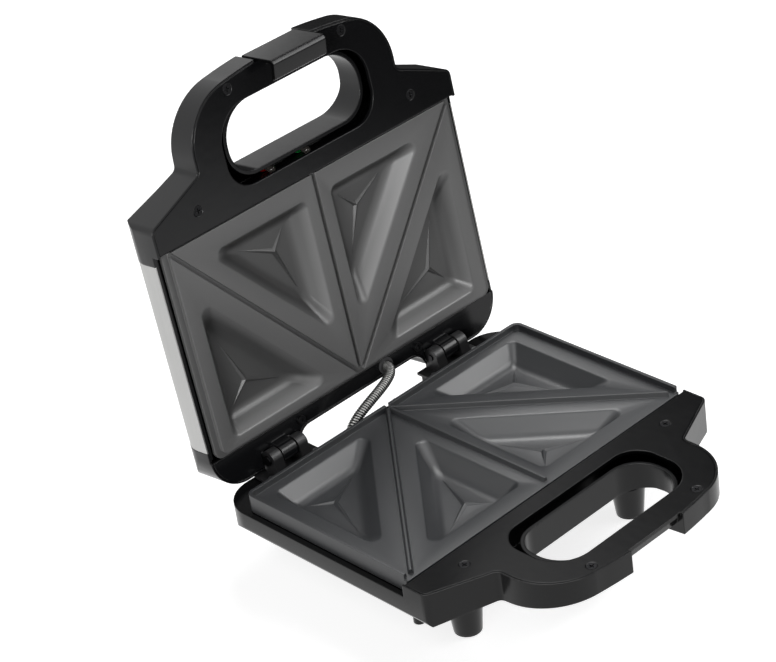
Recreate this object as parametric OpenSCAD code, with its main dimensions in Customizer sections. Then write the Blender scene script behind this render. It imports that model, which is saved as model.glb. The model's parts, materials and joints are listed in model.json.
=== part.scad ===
// Sandwich toaster: a hinged two-plate cooker that seals four filled triangles. Millimetres.
// X runs along the hinge, -Y to the handles, +Z up. The origin is on the table, under the middle
// of the open toaster's bounding box. Base pieces are drawn from the parting plane between the
// plates; lid pieces are drawn closed and turned about the hinge to the angle the lid opens to.

/* [Overall] */

// Height of the parting plane between the plates above the table
parting_height = 68; // [66:0.5:72]
// Angle the lid stands open at
lid_open_angle = 97; // [92:0.5:98]

/* [Plates] */

// Width of both plates
plate_width = 228; // [224:0.5:232]
// Depth of both plates
plate_depth = 133; // [130:0.5:136]
// Height of the lower plate's rim above its land
rim_height = 4; // [3.5:0.1:4.4]
// Thickness of the lower plate's rim
rim_thickness = 2; // [1.6:0.1:2.3]
// Depth of the sandwich pockets
pocket_depth = 11.6; // [10:0.1:12]
// Height of the three sealing ridges on the lower plate
divider_height = 3; // [2.4:0.1:3.2]
// Height of the star ribs in the pocket floors
star_height = 1.4; // [0.8:0.1:1.8]
// Depth of the grooves in the upper plate that take the ridges
groove_depth = 2.2; // [2:0.1:2.6]

/* [Housings] */

// Wall thickness of both housings
wall = 2.4; // [2.2:0.1:2.8]
// Overhang of the housings beyond the plates at each side
side_margin = 4; // [3.6:0.1:4.6]
// Depth of the base tub below the parting plane
tub_depth = 46; // [44:0.5:48]
// Height of the lid's top above the parting plane
lid_top = 38; // [37:0.5:40]
// How far the housings reach behind the plates at the hinges
hinge_bulge = 23; // [22:0.5:24]
// Thickness of the steel skin over the lid
skin = 0.8; // [0.6:0.1:1]
// Spacing of the feet across the toaster
foot_spacing = 139; // [134:1:144]
// Spacing of the feet front to back
foot_depth_spacing = 120; // [116:1:124]
// Diameter of a foot where it meets the table
foot_diameter = 17; // [15:0.5:18]

/* [Handles] */

// Width of both handle loops
handle_width = 156; // [150:1:160]
// Reach of the handle loops in front of the plates
handle_reach = 81.5; // [80:0.5:84]
// Width of the finger openings in the handle covers
finger_width = 114; // [108:1:118]
// Depth of the finger openings in the handle covers
finger_depth = 49.5; // [46:0.5:50]
// Thickness of the handle covers
cover_thickness = 2.5; // [2.2:0.1:2.8]
// Head diameter of the cover screws
screw_head = 6; // [5:0.2:6.6]

/* [Hinge and latch] */

// Distance of the hinge axis behind the plates
hinge_back = 16.5; // [16:0.1:16.8]
// Drop of the hinge axis below the parting plane
hinge_drop = 1.8; // [1.6:0.1:2.2]
// Outer diameter of the hinge knuckles
knuckle_diameter = 11.5; // [10.5:0.1:12]
// Diameter of the hinge pins
hinge_pin = 4; // [3.6:0.1:4.6]
// Width of the latch
latch_width = 40; // [36:0.5:41]
// Thickness of the latch leaf
latch_leaf = 2.2; // [1.8:0.1:2.4]
// Diameter of the latch pivot pin
latch_pin_diameter = 3; // [2.6:0.1:3.2]

/* [Electrics] */

// Diameter of the heating element tubes
element_diameter = 6.6; // [6:0.1:6.8]
// Diameter of the spring-wound lead between base and lid
lead_diameter = 6.4; // [5.6:0.1:6.6]
// Diameter of the indicator lenses
lens_diameter = 8; // [7:0.2:9]
// Diameter of the cord entry bush
bush_diameter = 9; // [8:0.5:9.5]

/* [Hidden] */

$fn = 64;

plate_black = "#303133";
gloss_black = "#17181a";
steel = "#d9dadb";
zinc = "#9a9c9e";

rear = plate_depth / 2;
front = -rear;
half = plate_width / 2 + side_margin;
// Middle of the plates behind the origin
set_back = 4.6;
fit = 0.3;

// Levels from the parting plane
base_land = -rim_height;
base_cover_top = base_land;
base_seam = -12;
body_floor = -28;
tub_floor = -tub_depth;
lid_land = -2.3;
lid_cover_face = -2.4;
lid_side_edge = 3;
lid_rear_face = 2;

hinge_y = rear + hinge_back;
hinge_z = -hinge_drop;
pin_gap = 0.05;

// ---- helpers ----------------------------------------------------------------------------

function unit(v) = v / norm(v);
function left(v) = [-v[1], v[0]];
function wrap(k, n) = (k + n) % n;
function meet(p, d, q, e) = p + d * cross(q - p, e) / cross(d, e);

// A closed outline moved inwards by i
function inset(p, i) = [
    for (k = [0 : len(p) - 1])
        let (
            b = p[k],
            d = unit(b - p[wrap(k - 1, len(p))]),
            e = unit(p[wrap(k + 1, len(p))] - b)
        )
        meet(b + i * left(d), d, b + i * left(e), e)
];

// An outline (anticlockwise corners p, radii r) with its corners rounded, moved inwards by i
module rounded(p, r, i = 0) {
    q = inset(p, i);
    n = len(q);
    d = [for (k = [0 : n - 1]) unit(q[k] - q[wrap(k - 1, n)])];
    e = [for (k = [0 : n - 1]) d[wrap(k + 1, n)]];
    convex = [for (k = [0 : n - 1]) cross(d[k], e[k]) > 0];
    radius = [for (k = [0 : n - 1]) r[k] <= 0 ? 0 : convex[k] ? max(0, r[k] - i) : r[k] + i];
    reach = [for (k = [0 : n - 1]) radius[k] * tan(acos(d[k] * e[k]) / 2)];
    difference() {
        union() {
            polygon([
                for (k = [0 : n - 1])
                    each radius[k] < 0.05 ? [q[k]] : [q[k] - reach[k] * d[k], q[k] + reach[k] * e[k]]
            ]);
            for (k = [0 : n - 1])
                if (convex[k] && radius[k] >= 0.05)
                    bow(q[k], d[k], e[k], radius[k], reach[k], 1);
        }
        for (k = [0 : n - 1])
            if (!convex[k] && radius[k] >= 0.05)
                bow(q[k], d[k], e[k], radius[k], reach[k], -1);
    }
}

// The slice of a circle between a corner's chord and its arc
module bow(v, d, e, r, t, side) {
    a = v - t * d;
    b = v + t * e;
    m = (a + b) / 2;
    intersection() {
        translate(a + side * r * left(d))
            circle(r = r, $fn = r > 100 ? 720 : $fn);
        polygon([a, m + 3 * (v - m), b]);
    }
}

module slab(low, high) {
    translate([0, 0, low])
        linear_extrude(high - low)
            children();
}

// A (y, z) outline drawn out along X
module across(x0, x1) {
    translate([x0, 0, 0])
        rotate([90, 0, 90])
            linear_extrude(x1 - x0)
                children();
}

// An (x, z) outline drawn out along Y
module along(y0, y1) {
    translate([0, y1, 0])
        rotate([90, 0, 0])
            linear_extrude(y1 - y0)
                children();
}

module block(low, high) {
    translate(low)
        cube(high - low);
}

module both_sides() {
    children();
    mirror([1, 0, 0])
        children();
}

// Closed solid through rings of equal length; twisted sides are split into triangles
module loft(rings, twisted = false) {
    n = len(rings[0]);
    m = len(rings);
    polyhedron(
        points = [for (ring = rings) each ring],
        faces = concat(
            [[for (j = [0 : n - 1]) j]],
            [[for (j = [n - 1 : -1 : 0]) (m - 1) * n + j]],
            [
                for (k = [0 : m - 2])
                    for (j = [0 : n - 1])
                        let (a = k * n + j, b = a + n, c = (k + 1) * n + (j + 1) % n, d = c - n)
                            each twisted ? [[a, b, c], [a, c, d]] : [[a, b, c, d]]
            ]
        )
    );
}

function wide(v) = abs(v[0]) < 0.9 * norm(v) ? [1, 0, 0] : [0, 1, 0];
function ring_at(c, t, r, n, ref) = let (
    u = unit(cross(ref, t)),
    v = cross(t, u)
) [for (j = [0 : n - 1]) c + r * (cos(360 * j / n) * u + sin(360 * j / n) * v)];
function heading(p, k) = unit(p[min(k + 1, len(p) - 1)] - p[max(k - 1, 0)]);

// A round tube along a path of points, its ends square to the first and last headings given
module hose(p, r, n, first, last, ref) {
    loft([
        for (k = [0 : len(p) - 1])
            ring_at(p[k], k == 0 ? first : k == len(p) - 1 ? last : heading(p, k), r, n, ref)
    ], true);
}

// A curve through four controls
function bend_at(a, b, c, d, s) =
    pow(1 - s, 3) * a + 3 * s * pow(1 - s, 2) * b + 3 * s * s * (1 - s) * c + pow(s, 3) * d;
function bend(a, b, c, d, n) = [for (k = [0 : n]) bend_at(a, b, c, d, k / n)];

module on_base() {
    translate([0, set_back, parting_height])
        children();
}

// Turns closed lid pieces to the open lid
module on_lid() {
    translate([0, set_back + hinge_y, parting_height + hinge_z])
        rotate([-lid_open_angle, 0, 0])
            translate([0, -hinge_y, -hinge_z])
                children();
}

// Countersunk cross-head screw, its face at z = 0 and its tip down
module countersunk(head, shank, length) {
    cone = (head - shank) / 2;
    difference() {
        union() {
            translate([0, 0, -cone])
                cylinder(r1 = shank / 2, r2 = head / 2, h = cone);
            translate([0, 0, -length])
                cylinder(d = shank, h = length - cone / 2);
        }
        cross_slot(head * 0.6);
    }
}

// Round-headed cross screw, the head standing on z = 0
module pan_screw(head, shank, length) {
    difference() {
        union() {
            cylinder(d = head, h = head * 0.35);
            translate([0, 0, -length])
                cylinder(d = shank, h = length + 0.1);
        }
        translate([0, 0, head * 0.35])
            cross_slot(head * 0.6);
    }
}

module cross_slot(size) {
    translate([-size / 2, -size / 10, -0.9])
        cube([size, size / 5, 1]);
    translate([-size / 10, -size / 2, -0.9])
        cube([size / 5, size, 1]);
}

// ---- plan shared by base and lid ------------------------------------------------------------

loop_half = handle_width / 2;
loop_corner = 36;
crown_angle = 9.3;
crown_apex = handle_reach + 3.95;
crown_corner = crown_apex - loop_half * tan(crown_angle);
crown_radius = 290;
neck = 34;
ear = 17;
recess_back = 12;
recess_half = 50;
recess_top_half = recess_half + (hinge_bulge - recess_back) * 7 / 24;

plan_right = [
    [loop_half, front - crown_corner],
    [loop_half, front - neck],
    [half, front - ear],
    [half, rear + hinge_bulge],
    [recess_top_half, rear + hinge_bulge],
    [recess_half, rear + recess_back]
];
plan_right_radii = [loop_corner, 4, 5, 23, 6, 9];
plan_points = concat(
    [[0, front - crown_apex]],
    plan_right,
    [for (k = [5 : -1 : 0]) [-plan_right[k][0], plan_right[k][1]]]
);
plan_radii = concat(
    [crown_radius],
    plan_right_radii,
    [for (k = [5 : -1 : 0]) plan_right_radii[k]]
);

module plan(i = 0) {
    rounded(plan_points, plan_radii, i);
}

// Everything in front of (side < 0) or behind (side > 0) a line across
module half_plane(y, side) {
    translate([-200, side > 0 ? y : y - 400])
        square(400);
}

module plan_before(y, i = 0) {
    intersection() {
        plan(i);
        half_plane(y, -1);
    }
}

module plan_behind(y, i = 0) {
    intersection() {
        plan(i);
        half_plane(y, 1);
    }
}

// Finger opening: half width, near and far edges measured in front of the plates
cover_gap = 1;
finger_near = 12.5;
finger_step = 6;
finger_half = finger_width / 2;
tunnel_gap = 1.1;

module finger(half_width, near, far, i = 0) {
    rounded(
        [
            [half_width, front - near],
            [-half_width, front - near],
            [-half_width, front - far],
            [half_width, front - far]
        ],
        [17, 17, 22, 22],
        i
    );
}

module cover_finger(i = 0) {
    finger(finger_half, finger_near, finger_near + finger_depth, i);
}

module tunnel_finger(i = 0) {
    finger(finger_half - finger_step, finger_near + finger_step, finger_near + finger_depth - 1.5, i);
}

rim_lip = 1.3;
// The front and side profiles stand this far outside the plan, so that their rounds cut its walls
ease = 0.15;
cover_clear = 0.3;

// Latch opening in both front walls
latch_half = latch_width / 2;
latch_notch = latch_half + 1.5;
notch_near = handle_reach - 2.9;
notch_slope = 3;
hook_ledge = -12.5;

// Cover screws, as positions across and in front of the plates
cover_screws = [
    [84, 14.5],
    [-84, 14.5],
    [44, handle_reach - 9.7],
    [-44, handle_reach - 9.7]
];
screw_shank = 3;
boss = 7.4;

// ---- plates ---------------------------------------------------------------------------------

// A place on the plates, across and back from the rear edge, for the measured plate of 228 x 133
function on_plate(x, y) = [x * plate_width / 228, rear + y * plate_depth / 133];

rear_pocket = [on_plate(-101, -8), on_plate(-101, -101.6), on_plate(-22, -8)];
front_pocket = [on_plate(-9, -121), on_plate(-9, -31.5), on_plate(-86, -121)];
pocket_corner = 5;
plate_skin = 2.5;

divider_start = on_plate(0, -1.2);
divider_ends = [on_plate(-107.6, -129.6), on_plate(0, -130.4), on_plate(107.6, -129.6)];

plate_posts = [on_plate(0, -62), on_plate(-99.5, -121.5), on_plate(99.5, -121.5)];
clamp_bosses = [on_plate(-71.5, -86), on_plate(71.5, -86), on_plate(0, -101)];

function corner_arc(p, v, q, r, n) = let (
    d = unit(v - p),
    e = unit(q - v),
    turn = acos(d * e),
    c = v - r * tan(turn / 2) * d + r * left(d),
    a = atan2(-left(d)[1], -left(d)[0])
) [for (k = [0 : n]) c + r * [cos(a + turn * k / n), sin(a + turn * k / n)]];
function mouth(t, r, n) = concat(
    corner_arc(t[2], t[0], t[1], r, n),
    corner_arc(t[0], t[1], t[2], r, n),
    corner_arc(t[1], t[2], t[0], r, n)
);
function perimeter(t) = norm(t[1] - t[0]) + norm(t[2] - t[1]) + norm(t[0] - t[2]);
function middle(t) =
    (norm(t[2] - t[1]) * t[0] + norm(t[0] - t[2]) * t[1] + norm(t[1] - t[0]) * t[2]) / perimeter(t);
function inradius(t) = abs(cross(t[1] - t[0], t[2] - t[0])) / perimeter(t);
function flat_ring(t, m, s, z) = let (c = middle(t), f = 1 - s / inradius(t))
    [for (p = m) [c[0] + (p[0] - c[0]) * f, c[1] + (p[1] - c[1]) * f, z]];

// Distance in from the mouth and share of the depth, down a pocket wall and over its floor
pocket_wall = [
    [0, -0.14], [0, 0], [0.6, 0.022], [1.3, 0.085], [6.3, 0.72], [8, 0.88], [10, 0.97], [12.5, 1]
];
shell_wall = [[-2, 0.1], [-0.6, 0.25], [4.6, 0.87], [7, 1.06]];

// The hollow of one pocket below a land at z = 0
module pocket(t) {
    m = mouth(t, pocket_corner, 6);
    last = 0.97 * inradius(t);
    loft(concat(
        [flat_ring(t, m, last, -pocket_depth + 1)],
        [for (k = [len(pocket_wall) - 1 : -1 : 0])
            flat_ring(t, m, pocket_wall[k][0], -pocket_depth * pocket_wall[k][1])]
    ));
}

// The metal round one pocket
module pocket_shell(t) {
    m = mouth(t, pocket_corner, 3);
    last = 0.9 * inradius(t);
    loft(concat(
        [flat_ring(t, m, last, -pocket_depth - plate_skin + 1)],
        [flat_ring(t, m, 11.5, -pocket_depth - plate_skin)],
        [for (k = [len(shell_wall) - 1 : -1 : 0])
            flat_ring(t, m, shell_wall[k][0], -pocket_depth * shell_wall[k][1])]
    ));
}

// The three-armed star in one pocket floor
module star(t) {
    c = middle(t);
    floor_z = -pocket_depth + 1;
    tips = [for (p = t) c + (p - c) * (1 - 13.2 / inradius(t))];
    waist = [
        for (k = [0 : 2])
            c + 1.7 * unit(unit(tips[k] - c) + unit(tips[(k + 1) % 3] - c))
    ];
    edge = [for (k = [0 : 2]) each [tips[k], waist[k]]];
    tip_z = -pocket_depth + 0.1;
    polyhedron(
        points = concat(
            [[c[0], c[1], floor_z + star_height], [c[0], c[1], floor_z - 1.4]],
            [for (k = [0 : 5]) [edge[k][0], edge[k][1], k % 2 == 0 ? tip_z : floor_z + 0.1]],
            [for (k = [0 : 5]) [edge[k][0], edge[k][1], floor_z - 1.4]]
        ),
        faces = [
            for (k = [0 : 5])
                each [
                    [0, 2 + (k + 1) % 6, 2 + k],
                    [1, 8 + k, 8 + (k + 1) % 6],
                    [2 + k, 2 + (k + 1) % 6, 8 + (k + 1) % 6, 8 + k]
                ]
        ]
    );
}

module each_pocket() {
    both_sides() {
        children(0);
        children(1);
    }
}

module pocket_hollows() {
    each_pocket() {
        pocket(rear_pocket);
        pocket(front_pocket);
    }
}

module pocket_shells() {
    each_pocket() {
        pocket_shell(rear_pocket);
        pocket_shell(front_pocket);
    }
}

module stars() {
    each_pocket() {
        star(rear_pocket);
        star(front_pocket);
    }
}

// A straight bar of a given section (x, z) from one place to another
module bar(p, q) {
    d = q - p;
    translate([p[0], p[1], 0])
        rotate([0, 0, atan2(d[1], d[0]) - 90])
            along(0, norm(d))
                children();
}

module plate_outline(i = 0) {
    w = plate_width / 2;
    rounded([[-w, front], [w, front], [w, rear], [-w, rear]], [1.5, 1.5, 5, 5], i);
}

module posts(places, low, high, d) {
    for (p = places)
        translate([p[0], p[1], low])
            cylinder(d = d, h = high - low);
}

base_post_top = -20;
thermostat_place = on_plate(0, -42);
fuse_place = on_plate(0, -82);
clamp_drop = pocket_depth + plate_skin + element_diameter;
base_element_z = base_land - pocket_depth - plate_skin - element_diameter / 2;

module base_plate() {
    skirt_low = base_seam + 0.5;
    color(plate_black)
        difference() {
            union() {
                translate([0, 0, base_land])
                    difference() {
                        union() {
                            slab(-plate_skin, 0)
                                plate_outline();
                            pocket_shells();
                        }
                        pocket_hollows();
                    }
                slab(skirt_low, base_land)
                    difference() {
                        plate_outline();
                        plate_outline(rim_thickness);
                    }
                slab(base_land - 0.5, 0)
                    difference() {
                        plate_outline();
                        plate_outline(rim_thickness);
                        half_plane(front + rim_thickness, -1);
                    }
                translate([0, 0, base_land])
                    stars();
                dividers(base_land - 0.2, 3.4, 1.4, divider_height + 0.2);
                posts(plate_posts, base_post_top, base_land - 1, 7);
                posts(clamp_bosses, base_land - clamp_drop, base_land - 1, 8);
                translate([thermostat_place[0], thermostat_place[1], base_land - 11.5])
                    cylinder(d = 10, h = 10.5);
                translate([fuse_place[0] - 3, fuse_place[1] - 5, base_land - 11.5])
                    cube([6, 10, 10.5]);
            }
            posts(plate_posts, base_post_top - 1, base_post_top + 9, screw_shank + 2 * pin_gap);
            posts(clamp_bosses, base_land - clamp_drop - 1, base_land - clamp_drop + 7, 2.6);
            translate([divider_start[0], rear, base_land + 0.8])
                block([-1.6, -rim_thickness - 1, 0], [1.6, 1, rim_height]);
        }
}

module dividers(z, base, top, height) {
    for (p = divider_ends)
        bar(divider_start, p)
            polygon([[-base / 2, z], [base / 2, z], [top / 2, z + height], [-top / 2, z + height]]);
}

lid_flange = 0.4;
lid_back = 13;
lid_element_z = lid_land + pocket_depth + plate_skin + element_diameter / 2;

module plateau(i = 0) {
    w = plate_width / 2 - 4;
    rounded(
        [[-w, front], [w, front], [w, rear - rim_thickness - 0.5], [-w, rear - rim_thickness - 0.5]],
        [1.5, 1.5, 4, 4],
        i
    );
}

module lid_plate() {
    color("#4a4b4d")
        on_lid()
            difference() {
                union() {
                    slab(lid_land, lid_land + plate_skin)
                        plateau();
                    slab(lid_land, lid_flange + 2)
                        difference() {
                            plateau();
                            plateau(plate_skin);
                        }
                    slab(lid_flange, lid_flange + 2.4)
                        difference() {
                            plate_outline();
                            plateau(1);
                        }
                    translate([0, 0, lid_land])
                        mirror([0, 0, 1])
                            pocket_shells();
                    for (p = divider_ends)
                        bar(divider_start + 4 * unit(p - divider_start), p)
                            translate([-3.4, lid_land + 1])
                                square([6.8, plate_skin + 1]);
                    posts(plate_posts, lid_land + 1, lid_back, 7);
                    posts(clamp_bosses, lid_land + 1, lid_land + clamp_drop, 8);
                }
                translate([0, 0, lid_land])
                    mirror([0, 0, 1])
                        difference() {
                            pocket_hollows();
                            stars();
                        }
                for (p = divider_ends)
                    bar(divider_start - 4 * unit(p - divider_start), p + 4 * unit(p - divider_start))
                        translate([-1.4, lid_land - 1])
                            square([2.8, groove_depth + 1]);
                posts(plate_posts, lid_back - 9, lid_back + 1, screw_shank + 2 * pin_gap);
                posts(clamp_bosses, lid_land + clamp_drop - 7, lid_land + clamp_drop + 1, 2.6);
            }
}

// ---- heating --------------------------------------------------------------------------------

element_half = clamp_bosses[1][0] - 9.5;
element_front = front + 22;
element_rear = rear - 18;
element_bend = 16;
element_end = 16;

// A tube from p to q in plan
module rod(p, q, d) {
    translate([p[0], p[1], 0])
        rotate([0, 0, atan2((q - p)[1], (q - p)[0])])
            rotate([0, 90, 0])
                cylinder(d = d, h = norm(q - p));
}

// A quarter bend round c from a given angle
module quarter(c, start, d) {
    translate([c[0], c[1], 0])
        rotate([0, 0, start])
            rotate_extrude(angle = 90)
                translate([element_bend, 0])
                    circle(d = d);
}

module element(z) {
    x = element_half - element_bend;
    y0 = element_front + element_bend;
    y1 = element_rear - element_bend;
    color("#6f7072")
        translate([0, 0, z])
            union() {
                rod([-x, element_front], [x, element_front], element_diameter);
                both_sides() {
                    quarter([x, y0], 270, element_diameter);
                    rod([element_half, y0], [element_half, y1], element_diameter);
                    quarter([x, y1], 0, element_diameter);
                    rod([x, element_rear], [element_end, element_rear], element_diameter);
                    rod([element_end + 0.5, element_rear], [element_end - 5, element_rear], 2.4);
                }
            }
}

clamp_sheet = 1.2;

// Clamp plates under the tube at z, each reaching from its boss
module clamps(z) {
    color(zinc)
        translate([0, 0, z])
            for (k = [0 : 2]) {
                p = clamp_bosses[k];
                q = k < 2 ? [sign(p[0]) * (element_half - 3), p[1]] : [0, element_front - 3];
                difference() {
                    translate([0, 0, -clamp_sheet])
                        linear_extrude(clamp_sheet)
                            union() {
                                translate([min(p[0], q[0]) - 4, min(p[1], q[1]) - 4])
                                    square([abs(q[0] - p[0]) + 8, abs(q[1] - p[1]) + 8]);
                            }
                    translate([p[0], p[1], -clamp_sheet - 1])
                        cylinder(d = 3.2, h = clamp_sheet + 2);
                }
            }
}

module clamp_screws(z) {
    color(zinc)
        for (p = clamp_bosses)
            translate([p[0], p[1], z - clamp_sheet])
                mirror([0, 0, 1])
                    pan_screw(5, 2.5, 6);
}

base_clamp_z = base_land - clamp_drop;
lid_clamp_z = lid_land + clamp_drop;

module base_element() {
    on_base()
        element(base_element_z);
}

module base_element_clamps() {
    on_base()
        clamps(base_clamp_z);
}

module base_clamp_screws() {
    on_base()
        clamp_screws(base_clamp_z);
}

module lid_element() {
    on_lid()
        element(lid_element_z);
}

module lid_element_clamps() {
    on_lid()
        mirror([0, 0, 1])
            clamps(-lid_clamp_z);
}

module lid_clamp_screws() {
    on_lid()
        mirror([0, 0, 1])
            clamp_screws(-lid_clamp_z);
}

reflector_half = 84;
reflector_front = front + 14;
reflector_rear = rear - 26;
reflector_sheet = 0.6;
reflector_lip = 4;

// Shallow sheet tray with its lips towards the plates (up)
module tray(hole) {
    color("#c4c6c8")
        difference() {
            block([-reflector_half, reflector_front, 0], [reflector_half, reflector_rear, reflector_lip]);
            block(
                [reflector_sheet - reflector_half, reflector_front + reflector_sheet, reflector_sheet],
                [reflector_half - reflector_sheet, reflector_rear - reflector_sheet, reflector_lip + 1]
            );
            posts(plate_posts, -1, reflector_lip, hole);
            posts([thermostat_place], -1, reflector_lip, 26);
            block([-13, thermostat_place[1], -1], [13, rear, reflector_lip + 1]);
        }
}

base_tray_z = base_clamp_z - clamp_sheet - 5;
lid_tray_z = lid_clamp_z + clamp_sheet + 3;
tray_posts = [
    [-76, front + 24],
    [76, front + 24],
    [-76, rear - 34],
    [76, rear - 34]
];

module base_reflector() {
    on_base()
        translate([0, 0, base_tray_z])
            tray(boss + 1);
}

module lid_reflector() {
    on_lid()
        translate([0, 0, lid_tray_z])
            mirror([0, 0, 1])
                tray(boss + 1);
}

thermostat_diameter = 18;
thermostat_height = 9;
thermostat_z = base_land - 11.5;

module thermostat() {
    color("#b9b4a6")
        on_base()
            translate([thermostat_place[0], thermostat_place[1], thermostat_z - thermostat_height])
                union() {
                    cylinder(d = thermostat_diameter, h = thermostat_height - 2);
                    cylinder(d = thermostat_diameter - 3, h = thermostat_height);
                    for (s = [-1, 1])
                        translate([s * 5 - 2, -0.4, -2])
                            cube([4, 0.8, 3]);
                }
}

module thermal_fuse() {
    color("#e6e2d6")
        on_base()
            translate([fuse_place[0], fuse_place[1], thermostat_z - 2])
                union() {
                    rotate([90, 0, 0])
                        cylinder(d = 4, h = 12, center = true);
                    rotate([90, 0, 0])
                        cylinder(d = 1.2, h = 22, center = true);
                }
}

block_y = rear - 4;
block_floor = tub_floor + wall;
block_size = [44, 14, 11];

module terminal_block() {
    color("#e9e7df")
        on_base()
            translate([0, block_y, block_floor])
                difference() {
                    translate([-block_size[0] / 2, -block_size[1] / 2, 0])
                        cube(block_size);
                    for (x = [-15, -5, 5, 15])
                        translate([x, 0, block_size[2] - 4])
                            cylinder(d = 4, h = 5);
                }
}

// One insulated wire from p (heading a) to q (heading b)
module wire(p, a, q, b, r = 1.1, pull = 14) {
    hose(bend(p, p + pull * a, q - pull * b, q, 8), r, 6, a, b, wide(a));
}

up = [0, 0, 1];
down = [0, 0, -1];
element_tail = element_end - 5;

module base_wiring() {
    top = block_floor + block_size[2];
    color("#d8d2c0")
        on_base() {
            for (s = [-1, 1])
                wire(
                    [s * 10, block_y - 3, top], up,
                    [s * element_tail, element_rear, base_element_z - 1.2], up, 1.1, 5
                );
            wire(
                [20, block_y - 3, top], up,
                [thermostat_place[0] + 5, thermostat_place[1], thermostat_z - thermostat_height - 2], up,
                1.1, 6
            );
            hose(
                bend(
                    [fuse_place[0], fuse_place[1] + 11, thermostat_z - 2],
                    [fuse_place[0], fuse_place[1] + 14.5, thermostat_z - 3.5],
                    [fuse_place[0] - 14, fuse_place[1] + 17.5, thermostat_z - 12.5],
                    [thermostat_place[0] - 5, thermostat_place[1] - 0.4, thermostat_z - 10.2],
                    10
                ),
                0.8, 6, [0, 1, 0], [0, 1, 0], [1, 0, 0]
            );
            for (s = [-1, 1]) {
                wire(
                    [lead_base[0] + s * 1.4, lead_base[1], base_seam - 8], down,
                    [s * 3 - 17, block_y + 4, top], down, 1.1, 4
                );
                wire(
                    [bush_place[0] + s * 1.3, rear + recess_back - wall - 3, bush_place[1]], [0, -1, 0],
                    [18 + s * 2, block_y + 4, top], down, 1, 6
                );
            }
        }
}

// ---- base housing ---------------------------------------------------------------------------

module base_side(i = 0) {
    rounded(
        [
            [front - 100, -16.2],
            [front - 34, -23],
            [front - 6, body_floor - ease],
            [rear + hinge_bulge + ease, body_floor - ease],
            [rear + hinge_bulge + ease, 12],
            [front - 100, 12]
        ],
        [0, 0, 0, 8, 0, 0],
        i
    );
}

module base_front(i = 0) {
    rounded(
        [
            [-half - ease, body_floor],
            [half + ease, body_floor],
            [half + ease, 12],
            [-half - ease, 12]
        ],
        [8, 8, 0, 0],
        i
    );
}

// The base's outer form up to a level, moved inwards by i
module base_form(top, i = 0) {
    intersection() {
        slab(body_floor - 2, top)
            plan(i);
        across(-150, 150)
            base_side(i);
        along(-200, 200)
            base_front(i);
    }
}

tub_half = 104;
tub_front = front - 5;
tub_rear = rear + 12;
tub_slope = 12;

// The deeper tub under the heaters
module tub(i = 0) {
    high = body_floor + 8;
    low = tub_floor;
    intersection() {
        slab(low + i, high)
            rounded(
                [
                    [-tub_half, tub_front],
                    [tub_half, tub_front],
                    [tub_half, tub_rear],
                    [-tub_half, tub_rear]
                ],
                [14, 14, 14, 14],
                i
            );
        along(-200, 200)
            rounded(
                [
                    [-tub_half + tub_slope, low],
                    [tub_half - tub_slope, low],
                    [tub_half, high],
                    [-tub_half, high]
                ],
                [6, 6, 0, 0],
                i
            );
        across(-150, 150)
            rounded(
                [
                    [tub_front + 5, low],
                    [tub_rear - 5, low],
                    [tub_rear, high],
                    [tub_front, high]
                ],
                [6, 6, 0, 0],
                i
            );
    }
}

foot_places = [
    for (x = [-0.5, 0.5])
        for (y = [-0.5, 0.5])
            [x * foot_spacing, y * foot_depth_spacing]
];
pad_height = 2;
foot_low = pad_height - parting_height;

module foot() {
    translate([0, 0, foot_low])
        cylinder(r1 = foot_diameter / 2, r2 = foot_diameter / 2 + 2.2, h = tub_floor - foot_low + 1);
}

shelf = cover_thickness;
partition_low = front - cover_gap - wall;
partition_high = front - cover_gap;
roof = base_seam - wall;
cover_boss_low = -26;
lead_base = [-25, rear + 6.2];
grommet_hole = lead_diameter / 2 + 0.7;
bush_place = [24, -20];
bracket_half = 21.5;
hinge_place = 68;
bracket_screw_places = [[-18, 0], [18, 0]];

module cover_recess(level) {
    difference() {
        plan_before(front + 1, rim_lip);
        square(0.01);
    }
}

module base_hollow() {
    // Under the plates
    intersection() {
        base_form(roof, wall);
        translate([-200, partition_high, -100])
            cube([400, 400, 200]);
    }
    tub(wall);
    block(
        [-half + wall + 3, partition_high, base_seam - 8],
        [half - wall - 3, rear - 3.5, base_seam + 5]
    );
    // Under the handle cover
    intersection() {
        base_form(base_cover_top - shelf, wall);
        translate([-200, partition_low - 400, -100])
            cube([400, 400, 200]);
    }
    slab(base_cover_top - shelf, 20)
        plan_before(front + 1, rim_lip);
}

module latch_block(low, high, deep) {
    block([-latch_notch - wall, front - handle_reach - 2, low], [latch_notch + wall, front - deep, high]);
}

// Wedge cut into a front wall for the latch leaf, from z0 to z1
module leaf_cut(z0, near0, z1, near1) {
    across(-latch_notch, latch_notch)
        polygon([
            [front - handle_reach - 9, z0],
            [front - near0, z0],
            [front - near1, z1],
            [front - handle_reach - 9, z1]
        ]);
}

tunnel_far = finger_near + finger_depth - 1.5 + wall;

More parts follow.
